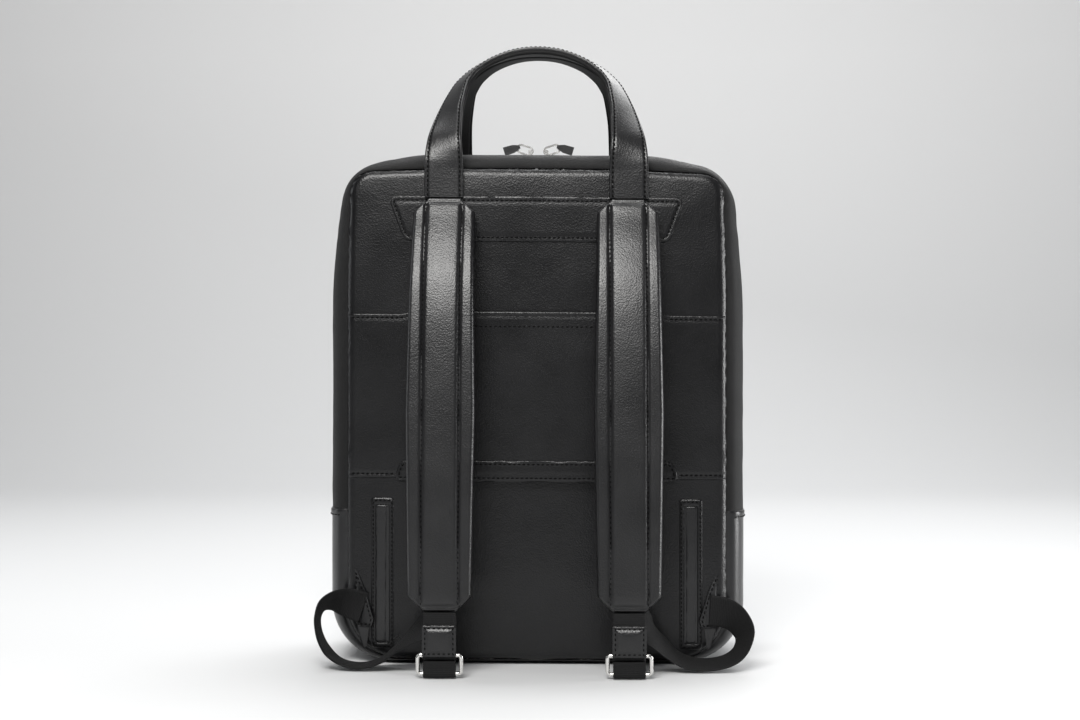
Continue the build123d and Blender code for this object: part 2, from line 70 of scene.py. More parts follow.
class Nodes:
    """Short ways to add and join a material's shader nodes."""

    def __init__(self, name):
        self.material = bpy.data.materials.new(name)
        self.material.use_nodes = True
        self.tree = self.material.node_tree
        self.shader = self.tree.nodes["Principled BSDF"]
        self.coords = self.tree.nodes.new("ShaderNodeTexCoord")

    def add(self, kind, inputs=None, **settings):
        node = self.tree.nodes.new("ShaderNode" + kind)
        for key, value in settings.items():
            setattr(node, key, value)
        for key, value in (inputs or {}).items():
            if isinstance(value, bpy.types.NodeSocket):
                self.tree.links.new(value, node.inputs[key])
            else:
                node.inputs[key].default_value = value
        return node

    def scaled(self, source, scale):
        return self.add("Mapping", {"Vector": self.coords.outputs[source], "Scale": scale}).outputs[0]

    def maths(self, operation, a, b):
        return self.add("Math", {0: a, 1: b}, operation=operation).outputs[0]

    def cloud(self, scale, detail, rough=0.5):
        """Noise from 0 to 1 over the object, with this many bumps a metre."""
        inputs = {"Vector": self.coords.outputs["Object"], "Scale": scale, "Detail": detail,
                  "Roughness": rough}
        return self.add("TexNoise", inputs).outputs["Fac"]

    def spread(self, value, low, high):
        """Maps a 0 to 1 value onto low to high."""
        return self.add("MapRange", {"Value": value, "To Min": low, "To Max": high}).outputs[0]

    def mix(self, factor, dark, light):
        node = self.add("Mix", {"Factor": factor}, data_type="RGBA")
        node.inputs[6].default_value = (*dark, 1)
        node.inputs[7].default_value = (*light, 1)
        return node.outputs[2]

    def bump(self, height, distance, strength=1.0, below=None):
        inputs = {"Height": height, "Distance": distance, "Strength": strength}
        if below is not None:
            inputs["Normal"] = below
        return self.add("Bump", inputs).outputs[0]

    def finish(self, **inputs):
        for key, value in inputs.items():
            socket = self.shader.inputs[key.replace("_", " ")]
            if isinstance(value, bpy.types.NodeSocket):
                self.tree.links.new(value, socket)
            else:
                socket.default_value = value
        return self.material


def leather(name, dark, light, rough, grain=0.00022, pore=820.0):
    """Soft full-grain leather: pebbled pores, fine creases, cloudy sheen."""
    n = Nodes(name)
    where = n.coords.outputs["Object"]
    pores = n.add("TexVoronoi", {"Vector": where, "Scale": pore, "Randomness": 1.0},
                  feature="F1").outputs["Distance"]
    fine = n.cloud(1900.0, 3.0)
    creases = n.cloud(170.0, 6.0, 0.62)
    cloud = n.cloud(26.0, 4.0)
    normal = n.bump(creases, 0.0003, 0.5)
    normal = n.bump(pores, grain, 0.55, normal)
    normal = n.bump(fine, 0.00007, 0.5, normal)
    shade = n.maths("MULTIPLY", cloud, n.spread(pores, 0.75, 1.25))
    return n.finish(Base_Color=n.mix(shade, dark, light),
                    Roughness=n.spread(cloud, rough - 0.07, rough + 0.1),
                    Normal=normal)


def weave(name, dark, light, rough, across, along, depth, sheen=0.0, source="UV"):
    """Woven cloth or webbing: threads across and along, in threads a metre."""
    n = Nodes(name)
    where = n.coords.outputs[source]
    rib = n.add("TexWave", {"Vector": where, "Scale": along, "Distortion": 0.4, "Detail": 1.0},
                bands_direction="X", wave_profile="SIN").outputs["Fac"]
    warp = n.add("TexWave", {"Vector": where, "Scale": across, "Distortion": 0.4, "Detail": 1.0},
                 bands_direction="Y", wave_profile="SIN").outputs["Fac"]
    cloud = n.cloud(45.0, 4.0)
    cloth = n.maths("MULTIPLY", rib, warp)
    normal = n.bump(cloth, depth, 0.8, n.bump(cloud, 0.0006, 0.25))
    return n.finish(Base_Color=n.mix(n.maths("MULTIPLY", cloth, cloud), dark, light),
                    Roughness=n.spread(cloud, rough - 0.08, rough + 0.08), Sheen_Weight=sheen,
                    Sheen_Roughness=0.45,
                    Specular_IOR_Level=0.25, Normal=normal)


def metal(name):
    """Polished nickel with faint hairlines and handling marks."""
    n = Nodes(name)
    lines = n.add("TexNoise", {"Vector": n.scaled("Object", (2500, 300, 300)), "Scale": 1.0, "Detail": 4.0})
    smudge = n.cloud(220.0, 4.0)
    return n.finish(Base_Color=n.mix(smudge, (0.62, 0.61, 0.59), (0.83, 0.82, 0.8)), Metallic=1.0,
                    Roughness=n.spread(smudge, 0.12, 0.34),
                    Normal=n.bump(lines.outputs["Fac"], 0.00002, 0.5))


def moulded(name, dark, light, rough):
    """Plain moulded plastic or board with a fine texture."""
    n = Nodes(name)
    speck = n.cloud(1500.0, 3.0)
    cloud = n.cloud(60.0, 3.0)
    return n.finish(Base_Color=n.mix(cloud, dark, light),
                    Roughness=n.spread(speck, rough - 0.08, rough + 0.08),
                    Normal=n.bump(speck, 0.00006, 0.5))


BODY_LEATHER = leather("body_leather", (0.002, 0.002, 0.0023), (0.006, 0.006, 0.0068), 0.3)
# Straps, tongue patches, side tabs and handles use the body's leather with a lighter base colour: painted light
# that stands in for the bright sheen on the straps.
LIT_STRAP_LEATHER = leather("lit_strap_leather", (0.003, 0.003, 0.0034), (0.009, 0.009, 0.0098), 0.33)
SMOOTH_LEATHER = leather("smooth_leather", (0.004, 0.004, 0.0045), (0.009, 0.009, 0.010), 0.3, 0.00010,
                         900.0)
# Handle lining: a rough, dull leather whose base colour is darker than the other leathers, painted shade for the
# handles' shaded undersides.
SHADED_HANDLE_LINING = leather("handle_back", (0.003, 0.003, 0.003), (0.007, 0.007, 0.0075), 0.62)
NYLON = weave("nylon", (0.002, 0.002, 0.0022), (0.007, 0.0068, 0.0075), 0.6, 520.0, 520.0, 0.00012, 0.02)
for dull, level in ((SHADED_HANDLE_LINING, 0.2), (BODY_LEATHER, 0.36)):
    dull.node_tree.nodes["Principled BSDF"].inputs["Specular IOR Level"].default_value = level
WEBBING = weave("webbing", (0.003, 0.003, 0.0033), (0.012, 0.012, 0.0125), 0.66, 330.0, 220.0, 0.0003, 0.02)
AIR_MESH = weave("air_mesh", (0.012, 0.012, 0.013), (0.035, 0.035, 0.038), 0.8, 210.0, 210.0, 0.0005, 0.1)
LINING = weave("lining", (0.022, 0.022, 0.026), (0.05, 0.05, 0.058), 0.6, 600.0, 600.0, 0.0001, 0.1)
ZIP_TAPE = weave("zip_tape", (0.008, 0.008, 0.008), (0.02, 0.02, 0.021), 0.7, 480.0, 900.0, 0.0002)
ZIP_TEETH = moulded("zip_teeth", (0.012, 0.012, 0.012), (0.03, 0.03, 0.03), 0.33)
THREAD = moulded("thread", (0.0008, 0.0008, 0.0008), (0.0025, 0.0025, 0.0026), 0.75)
THREAD.node_tree.nodes["Principled BSDF"].inputs["Specular IOR Level"].default_value = 0.12
BOARD = moulded("board", (0.03, 0.03, 0.03), (0.05, 0.05, 0.05), 0.6)
NICKEL = metal("nickel")

# ------------------------------------------------------------------ making pieces


def settle(points):
    """The soft bag leans a little to one side: its upper right side sits lower than its upper left."""
    points = np.array(points, float)
    height = np.clip(points[..., 2] / HEIGHT, 0, 1)
    points[..., 2] -= 0.011 * np.clip(points[..., 0], -165, 165) * height
    return points


def make(name, points, faces, material, body, replaces=(), uv=None, sharp=55.0):
    """One piece from points in millimetres."""
    data = bpy.data.meshes.new(name)
    data.from_pydata((settle(points) * MM).tolist(), [], faces)
    if uv is not None:
        layer = data.uv_layers.new(name="UVMap")
        corners = np.empty(len(data.loops), np.int64)
        data.loops.foreach_get("vertex_index", corners)
        layer.data.foreach_set("uv", (np.asarray(uv)[corners] * MM).astype(np.float32).ravel())
    if sum(face.center.dot(face.normal) * face.area for face in data.polygons) < 0:
        data.flip_normals()
    data.polygons.foreach_set("use_smooth", [True] * len(data.polygons))
    data.set_sharp_from_angle(angle=radians(sharp))
    data.materials.append(material)
    piece = bpy.data.objects.new(name, data)
    bpy.context.scene.collection.objects.link(piece)
    if isinstance(body, str):
        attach(piece, body)
    else:
        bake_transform(piece)
    if replaces:
        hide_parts(*replaces)
    return piece


def grid_faces(rows, columns, first=0, flip=False):
    i, j = np.meshgrid(np.arange(rows - 1), np.arange(columns - 1), indexing="ij")
    a = (first + i * columns + j).ravel()
    quads = np.stack([a, a + 1, a + columns + 1, a + columns], 1)
    return (quads[:, ::-1] if flip else quads).tolist()


def lengths(grid, axis):
    """How far along each point of a grid lies, in millimetres."""
    steps = np.linalg.norm(np.diff(grid, axis=axis), axis=2)
    total = np.cumsum(steps, axis=axis)
    pad = [(1, 0), (0, 0)] if axis == 0 else [(0, 0), (1, 0)]
    return np.pad(total, pad)


def slab(name, front, back, material, body, replaces=(), sharp=55.0):
    """A closed piece between two grids of points, its front and its back."""
    rows, columns = front.shape[:2]
    count = rows * columns
    points = np.concatenate([front.reshape(-1, 3), back.reshape(-1, 3)])
    faces = grid_faces(rows, columns) + grid_faces(rows, columns, count, True)
    rim = [*range(columns), *[r * columns + columns - 1 for r in range(1, rows)],
           *[(rows - 1) * columns + c for c in range(columns - 2, -1, -1)],
           *[r * columns for r in range(rows - 2, 0, -1)]]
    for here, following in zip(rim, rim[1:] + rim[:1]):
        faces.append([following, here, here + count, following + count])
    flat = np.stack([lengths(front, 0).ravel(), lengths(front, 1).ravel()], 1)
    return make(name, points, faces, material, body, replaces, np.concatenate([flat, flat]), sharp)


def skin(name, grid, thick, material, body, replaces=(), sharp=55.0):
    """An open surface given a thickness on its inner side."""
    normal = np.cross(np.gradient(grid, axis=1), np.gradient(grid, axis=0))
    normal /= np.maximum(np.linalg.norm(normal, axis=2, keepdims=True), 1e-9)
    return slab(name, grid, grid - normal * thick, material, body, replaces, sharp)


def curve_through(points, count):
    """Smooth interpolation through rows of numbers, evenly spaced along the first three."""
    p = np.array(points, float)
    ends = np.concatenate([[2 * p[0] - p[1]], p, [2 * p[-1] - p[-2]]])
    samples = []
    for i in range(len(p) - 1):
        a, b, c, d = ends[i:i + 4]
        t = np.linspace(0, 1, 24, endpoint=i == len(p) - 2)[:, None]
        samples.append(0.5 * (2 * b + (c - a) * t + (2 * a - 5 * b + 4 * c - d) * t ** 2
                              + (3 * b - a - 3 * c + d) * t ** 3))
    dense = np.concatenate(samples)
    run = np.concatenate([[0], np.cumsum(np.linalg.norm(np.diff(dense[:, :3], axis=0), axis=1))])
    wanted = np.linspace(0, run[-1], count)
    return np.stack([np.interp(wanted, run, dense[:, k]) for k in range(p.shape[1])], 1)


def unit(v):
    return v / np.maximum(np.linalg.norm(v, axis=-1, keepdims=True), 1e-9)


def fillet_path(points, radii, step=2.0, plan=None, closed=False):
    """A path with rounded corners. Plan holds the samples of each straight and arc, so that two like
    paths match point for point."""
    p = [np.array(q, float) for q in points]
    if closed:
        middle = (p[0] + p[-1]) / 2
        p, radii = [middle, *p, middle], list(radii)
    corners = []
    for before, at, after, radius in zip(p, p[1:], p[2:], radii):
        u, v = unit(before - at), unit(after - at)
        half = np.arccos(np.clip(u @ v, -1, 1)) / 2
        reach = radius / np.tan(half)
        centre = at + unit(u + v) * radius / np.sin(half)
        corners.append((at + u * reach, at + v * reach, centre, radius, pi - 2 * half))
    made, counts, last = [p[0][None]], [], p[0]
    for i, (start, end, centre, radius, turn) in enumerate(corners):
        straight = plan[2 * i] if plan else max(1, round(float(np.linalg.norm(start - last)) / step))
        arc = plan[2 * i + 1] if plan else max(4, round(radius * turn / step))
        counts += [straight, arc]
        made.append(last + (start - last) * np.linspace(0, 1, straight + 1)[1:, None])
        a, b = start - centre, end - centre
        t = np.linspace(0, 1, arc + 1)[1:, None]
        made.append(centre + (a * np.sin((1 - t) * turn) + b * np.sin(t * turn)) / np.sin(turn))
        last = end
    straight = plan[-1] if plan else max(1, round(float(np.linalg.norm(p[-1] - last)) / step))
    counts.append(straight)
    made.append(last + (p[-1] - last) * np.linspace(0, 1, straight + 1)[1:, None])
    return np.concatenate(made), counts


def away_from(x, z, path):
    """Distance of each point from a dense path."""
    shape = np.shape(x)
    q = np.stack([np.ravel(x), np.ravel(z)], 1)
    nearest = np.full(len(q), 1e9)
    for start in range(0, len(q), 4000):
        part = q[start:start + 4000]
        nearest[start:start + 4000] = np.sqrt(((part[:, None] - path[None]) ** 2).sum(2)).min(1)
    return nearest.reshape(shape)


def rumple(points, size, seed=0.0):
    """Smooth noise from -1 to 1 at each point, with bumps about size millimetres across."""
    flat = np.reshape(points, (-1, 3)) / size
    values = [noise.noise((x + seed, y - seed, z + 2 * seed)) for x, y, z in flat]
    return np.reshape(values, np.shape(points)[:-1])


def rolled(d, width):
    """Height of a rounded edge, from 0 at the edge to 1 at width inside it."""
    t = np.clip(d / width, 0, 1)
    return np.sqrt(np.clip(1 - (1 - t) ** 2, 0, 1))


def groove(d, at, width):
    return np.exp(-((d - at) / width) ** 2)


def stitches(name, path, normals, body, pitch=3.7, long=2.7, thick=1.05, material=None):
    """A row of sewn stitches along a path, lying on a surface with these normals."""
    path, normals = np.asarray(path, float), unit(np.asarray(normals, float))
    run = np.concatenate([[0], np.cumsum(np.linalg.norm(np.diff(path, axis=0), axis=1))])
    count = max(2, int(run[-1] / pitch))
    centres = (np.arange(count) + 0.5) * run[-1] / count

    def at(distance, rows):
        return np.stack([np.interp(distance, run, rows[:, k]) for k in range(3)], 1)

    middle, normal = at(centres, path), unit(at(centres, normals))
    along = unit(at(centres + 0.4, path) - at(centres - 0.4, path))
    side = np.cross(normal, along)
    along = unit(along + 0.12 * side)
    side = np.cross(normal, along)
    profile = [(-0.5, 0.25, -0.3), (-0.3, 0.85, 0.15), (0, 1, 0.28), (0.3, 0.85, 0.15), (0.5, 0.25, -0.3)]
    ring = [(cos(k * pi / 3), sin(k * pi / 3)) for k in range(6)]
    points = []
    for reach, swell, lift in profile:
        for c, s in ring:
            points.append(middle + along * reach * long + side * c * swell * thick / 2
                          + normal * (s * swell * thick / 2 + lift * thick))
    points = np.stack(points, 1).reshape(-1, 3)
    each = len(profile) * 6
    faces = []
    for k in range(count):
        first = k * each
        for r in range(len(profile) - 1):
            for c in range(6):
                a, b = first + r * 6 + c, first + r * 6 + (c + 1) % 6
                faces.append([a, b, b + 6, a + 6])
        faces.append([first + c for c in range(5, -1, -1)])
        faces.append([first + each - 6 + c for c in range(6)])
    return make(name, points, faces, material or THREAD, body)


def stack(*rows):
    return np.stack(np.broadcast_arrays(*rows), -1).astype(float)


# ------------------------------------------------------------------ the bag's outline


def outline_corners(inset, foot):
    w, h = HALF_WIDTH - inset, HEIGHT - inset
    square = min(1, max(0, inset / SIDE_INSET))
    corners = [(w, foot), (w, 300), (w - 10 + 8 * square, h - 14 + 12.5 * square),
               (w - 68 - 11 * square, h + 2 * square)]
    radii = [48 - foot * 1.5, 380 - inset, 38 - 19 * square, 150 - inset]
    return corners, radii


def upper_outline(inset, plan=None):
    """From the zip's right end over the top to its left end."""
    corners, radii = outline_corners(inset, 0)
    w = corners[0][0]
    right = corners[1:]
    left = [(-x, z) for x, z in reversed(right)]
    return fillet_path([(w, ZIP_Z), *right, *left, (-w, ZIP_Z)], radii[1:] + radii[:0:-1], 2.5, plan)


def lower_outline(inset, foot, plan=None):
    """From the zip's left end round the foot to its right end."""
    corners, radii = outline_corners(inset, foot)
    w = corners[0][0]
    return fillet_path([(-w, ZIP_Z), (-w, foot), (w, foot), (w, ZIP_Z)], [radii[0], radii[0]], 2.5, plan)


def panel_edge(inset=SIDE_INSET, foot=FOOT_INSET):
    return np.concatenate([upper_outline(inset)[0], lower_outline(inset, foot)[0][1:]])


def panel_grid(edge, low, high, step=2.5):
    """A grid that fills an outline between two heights: X and Z of each point."""
    right = edge[edge[:, 0] >= 0]
    order = np.argsort(right[:, 1])
    z_rows, x_rows = right[order, 1], right[order, 0]
    bottom, top = max(low, z_rows[0]), min(high, z_rows[-1])
    t = np.linspace(0, 1, int((top - bottom) / step) + 2)
    ease_low, ease_high = low < z_rows[0] + 1, high > z_rows[-1] - 1
    if ease_low and ease_high:
        t = 0.5 - 0.5 * np.cos(pi * t) * (0.35 + 0.65 * np.abs(np.cos(pi * t)) ** 0.5)
        t = (t - t[0]) / (t[-1] - t[0])
    elif ease_low or ease_high:
        t = 0.55 * t + 0.45 * (t ** 1.8 if ease_low else 1 - (1 - t) ** 1.8)
    heights = bottom + (top - bottom) * t
    widths = np.interp(heights, z_rows, x_rows)
    u = np.sin(np.linspace(-1, 1, int(2 * HALF_WIDTH / step)) * pi / 2 * 0.86)
    u /= u[-1]
    return widths[:, None] * u[None], np.repeat(heights[:, None], len(u), 1)


PANEL_EDGE = panel_edge()


def back_face(x, z):
    """Y of the padded back panel's face."""
    d = away_from(x, z, PANEL_EDGE)
    swell = 5.2 * rolled(d, 6.5) + 2.2 * rolled(d, 48.0)
    flat = stack(x, 0.0 * x, z)
    waves = rumple(flat, 95.0, 6.2) + rumple(flat, 55.0, 3.1) * 0.7 + rumple(flat, 21.0, 8.3) * 0.16
    return -HALF_DEPTH + 3.4 - swell - waves * rolled(d, 14.0)


def panel(name, low, high, face, thick, material, body, replaces, edge=PANEL_EDGE):
    x, z = panel_grid(edge, low, high)
    y = face(x, z)
    return slab(name, stack(x, y, z), stack(x, y + thick, z), material, body, replaces)


# ------------------------------------------------------------------ back panel

bag_back = panel("back_panel", 0, 500, back_face, 2.0, BODY_LEATHER, "bag",
                 ["back_panel_leather"])

# ------------------------------------------------------------------ gussets

# Side view of a gusset from the panel's seam to the zip: inset from the widest outline, and depth
NYLON_PROFILE = [(19.5, 56.2), (16.8, 57.2), (13.2, 57.4), (8.8, 55.6), (4.9, 50.8), (2.0, 44.0),
                 (0.6, 36.0),
                 (0.0, 26.0), (0.2, 15.0), (0.9, 8.0), (1.6, 5.2), (3.2, 4.6)]
LEATHER_PROFILE = [(19.5, 56.2), (16.8, 57.4), (13.0, 57.5), (8.2, 55.4), (4.0, 50.2), (1.3, 43.5),
                   (0.2, 36.0),
                   (-0.2, 26.0), (-0.2, 13.0), (-0.2, 0.0)]


def gusset_grid(profile, face, lower):
    """Points of a gusset: along the outline by across it. Face is -1 for the harness side."""
    across = curve_through([(inset, y, 0) for inset, y in profile], 30)[:, :2]
    plan = (lower_outline(0, 0) if lower else upper_outline(0))[1]
    columns = []
    for inset, y in across:
        foot = inset * FOOT_INSET / SIDE_INSET
        path = (lower_outline(inset, foot, plan) if lower else upper_outline(inset, plan))[0]
        columns.append(stack(path[:, 0], face * y, path[:, 1]))
    return np.stack(columns, 1)


def pulled(grid, amount, seed):
    """A gusset with soft gathers across it, deepest at the tight corners and by the seam."""
    along = lengths(grid, 0)[:, :1] * np.ones(grid.shape[1])
    across = np.linspace(0, 1, grid.shape[1])[None] * np.ones((grid.shape[0], 1))
    out = unit(np.cross(np.gradient(grid, axis=0), np.gradient(grid, axis=1)))
    fold = rumple(stack(along * 1.0, across * 16.0, 0.0 * along), 17.0, seed)
    wide = rumple(stack(along * 1.0, across * 30.0, 0.0 * along), 70.0, seed + 4)
    corner = np.exp(-((np.abs(grid[..., 0]) - 150) / 14) ** 2) * (grid[..., 2] > 330)
    share = np.sin(np.clip(across * 1.15, 0, 1) * pi) ** 0.7
    return grid + out * ((fold * (0.35 + 1.0 * corner) + 0.9 * wide) * amount * share)[..., None]


SIDE_FOLD = ((0, 0, 121), (0, 0, 168))
for face, name in ((-1, "back"), (1, "front")):
    cloth = gusset_grid(NYLON_PROFILE, face, False)
    if face > 0:
        cloth = cloth[:, ::-1]
    cloth = pulled(cloth, 0.8, 2.0 + face)
    body = "bag" if face < 0 else ("bag", "flap", *SIDE_FOLD)
    skin(f"gusset_{name}_cloth", cloth, 1.2, NYLON, body, [f"gusset_{name}"])

half = gusset_grid(LEATHER_PROFILE, -1, True)
other = gusset_grid(LEATHER_PROFILE, 1, True)[:, ::-1]
base = pulled(np.concatenate([half, other[:, 1:]], 1), 0.5, 6.0)
base[:, :, 2] = np.maximum(base[:, :, 2], 0.0)
skin("base_leather", base, 2.0, SMOOTH_LEATHER, "bag", ["base_gusset"])

# Turned top edge of the base leather, with its stitches
for side in (-1, 1):
    rim = base[0] if side < 0 else base[-1]
    rows = []
    for rise, out in ((-4.5, 0.5), (-1.5, 0.9), (0.3, 1.0), (1.4, 0.4), (1.6, -0.4)):
        row = rim.copy()
        row[:, 2] += rise
        row[:, 0] += side * out
        rows.append(row)
    hem = np.stack(rows, 0)
    skin(f"base_hem_{'left' if side < 0 else 'right'}", hem if side > 0 else hem[:, ::-1], 1.3,
         SMOOTH_LEATHER,
         "bag")
    line = rim[4:-4].copy()
    line[:, 2] -= 3.2
    line[:, 0] += side * 0.8
    out = np.cross(np.gradient(line, axis=0), (0, 0, 1))
    stitches(f"base_hem_stitches_{'left' if side < 0 else 'right'}", line,
             out * (side * np.sign(out[len(out) // 2, 0])),
             "bag", 3.5, 2.5, 0.9)

# ------------------------------------------------------------------ the wrap-round zip


def zip_strip(face, name, body):
    """One half of the zip: woven tape and a row of moulded teeth."""
    plan = upper_outline(0)[1]
    outer = [(2.6, 13.0), (2.5, 6.0), (2.2, 3.4), (2.4, 1.6)]
    grid = np.stack([stack(path[:, 0], face * y, path[:, 1]) for inset, y in outer
                     for path in [upper_outline(inset, plan)[0]]], 1)
    if face > 0:
        grid = grid[:, ::-1]
    skin(f"zip_tape_{name}_cloth", grid, 0.7, ZIP_TAPE, body, [f"zip_tape_{name}"])
    path = upper_outline(0.9)[0]
    run = np.concatenate([[0], np.cumsum(np.linalg.norm(np.diff(path, axis=0), axis=1))])
    pitch = 2.2
    count = int(run[-1] / pitch) - 1
    centres = (np.arange(count) + (0.75 if face < 0 else 1.25)) * pitch
    x, z = np.interp(centres, run, path[:, 0]), np.interp(centres, run, path[:, 1])
    ahead = np.stack([np.interp(centres + 1, run, path[:, 0]) - x,
                      np.interp(centres + 1, run, path[:, 1]) - z], 1)
    ahead = unit(ahead)
    out = np.stack([ahead[:, 1], -ahead[:, 0]], 1)
    tooth = [(-0.55, 3.5, -1.3), (0.55, 3.5, -1.3), (0.7, 0.7, -1.3), (-0.7, 0.7, -1.3),
             (-0.45, 3.2, 0.1), (0.45, 3.2, 0.1), (0.55, 1.0, 0.1), (-0.55, 1.0, 0.1)]
    points = np.stack([stack(x + ahead[:, 0] * a + out[:, 0] * c, face * b + 0 * x, z + ahead[:, 1] * a
                             + out[:, 1] * c) for a, b, c in tooth], 1).reshape(-1, 3)
    box = [[3, 2, 1, 0], [4, 5, 6, 7], [0, 1, 5, 4], [1, 2, 6, 5], [2, 3, 7, 6], [3, 0, 4, 7]]
    faces = [[k * 8 + v for v in quad] for k in range(count) for quad in box]
    make(f"zip_teeth_{name}_row", points, faces, ZIP_TEETH, body, [f"zip_teeth_{name}"])


zip_strip(-1, "back", "bag")
zip_strip(1, "front", ("bag", "flap", *SIDE_FOLD))

# ------------------------------------------------------------------ flat leather pieces with a stitched edge


def patch_piece(name, corners, radii, face, rise, body, material=BODY_LEATHER, direction=-1,
                step=2.0, seam=3.0, replaces=(), sewn=True, crown=0.0):
    """A leather piece laid on a surface: rolled edges, a pressed seam line and its stitches. Face gives
    the Y of the surface under it."""
    path = fillet_path(corners, radii, 1.0, closed=True)[0]
    low, high = path[:, 1].min(), path[:, 1].max()
    heights = low + (high - low) * (0.5 - 0.5 * np.cos(np.linspace(0, pi,
                                                                   max(8, int((high - low) / step)))))
    lefts, rights = [], []
    for z in heights:
        x, zs = path[:, 0], path[:, 1]
        crossing = (zs[:-1] - z) * (zs[1:] - z) <= 1e-9
        found = []
        for k in np.nonzero(crossing)[0]:
            share = 0 if abs(zs[k + 1] - zs[k]) < 1e-9 else (z - zs[k]) / (zs[k + 1] - zs[k])
            found.append(x[k] + (x[k + 1] - x[k]) * share)
        lefts.append(min(found))
        rights.append(max(found))
    u = 0.5 - 0.5 * np.cos(np.linspace(0, pi, max(8, int((path[:, 0].max() - path[:, 0].min()) / step))))
    left, right = np.array(lefts)[:, None], np.array(rights)[:, None]
    x = left + (right - left) * u[None]
    z = np.repeat(heights[:, None], len(u), 1)
    d = away_from(x, z, path)
    lift = rise * (0.25 + 0.75 * rolled(d, 1.2)) - (0.5 * groove(d, seam, 1.0) if sewn else 0)
    lift = lift + crown * rolled(np.maximum(d - seam, 0), 9.0)
    y = face(x, z)
    front, back = stack(x, y + direction * lift, z), stack(x, y - direction * 0.3, z)
    if direction > 0:
        front, back = front[:, ::-1], back[:, ::-1]
    piece = slab(name, front, back, material, body, replaces)
    if sewn:
        centre = path.mean(0)
        ahead = unit(np.gradient(path, axis=0))
        inward = np.stack([-ahead[:, 1], ahead[:, 0]], 1)
        if ((centre - path) * inward).sum() < 0:
            inward = -inward
        line = path + inward * seam
        keep = away_from(line[:, 0], line[:, 1], path) > seam - 0.35
        line = line[keep]
        yy = face(line[:, 0], line[:, 1]) + direction * (rise * 0.98 - 0.35)
        stitches(name + "_stitches", stack(line[:, 0], yy, line[:, 1]),
                 stack(0 * yy, direction + 0 * yy, 0 * yy),
                 body)
    return piece


PATCH = [(-117, 368), (117, 368), (104, 333), (-104, 333)]
patch_piece("root_patch_back_leather", PATCH, [5, 5, 9, 9], back_face, 1.5, "bag",
            replaces=["root_patch_back"])


# ------------------------------------------------------------------ luggage sleeve


def sleeve_face(x, z):
    """Y of the luggage sleeve's outer face: sewn flat at its sides, standing off in the middle."""
    t = np.clip((98 - np.abs(x)) / 14, 0, 1)
    bow = t * t * (3 - 2 * t)
    waves = rumple(stack(x, 0.0 * x, z), 38.0, 1.7) * 0.3
    return back_face(x, z) - 1.3 - 5.2 * bow - waves * bow


SIDE_EDGE = HALF_WIDTH - SIDE_INSET - 0.3
u = np.sin(np.linspace(-1, 1, 130) * pi / 2 * 0.9)
x = np.repeat((u / u[-1] * (SIDE_EDGE - 0.4))[None], 56, 0)
t = 0.5 - 0.5 * np.cos(np.linspace(0, pi, 56))
middle = np.clip((106 - np.abs(x)) / 10, 0, 1)
top_edge = SLEEVE_HIGH + 2.2 * middle
z = SLEEVE_LOW + (top_edge - SLEEVE_LOW) * t[:, None]
y = sleeve_face(x, z)
d = np.minimum(z - SLEEVE_LOW, top_edge - z)
y = y + 0.9 * (1 - rolled(d, 1.3)) + 0.45 * groove(d, 3.2, 0.9)
slab("luggage_sleeve_leather", stack(x, y, z), stack(x, y + 1.7, z), BODY_LEATHER, "bag",
     ["luggage_sleeve"])
for name, height, start, end in (("top_left", 272.6, -146, -104), ("top_right", 272.6, 104, 146),
                                 ("top_middle", 266.0, -100, 100), ("low_left", 150.2, -146, -112),
                                 ("low_right", 150.2, 112, 146)):
    x = np.linspace(start, end, 80)
    line = stack(x, sleeve_face(x, height + 0 * x) + 0.25, height + 0 * x)
    stitches(f"sleeve_stitches_{name}", line, stack(0 * x, -1 + 0 * x, 0 * x), "bag")

TRIM = [(-112, 145), (112, 145), (107, 161), (-107, 161)]
patch_piece("sleeve_trim", TRIM, [4, 4, 7, 7], lambda x, z: sleeve_face(x, z) - 0.1, 1.5, "bag", seam=2.6)

# ------------------------------------------------------------------ upright strap pockets

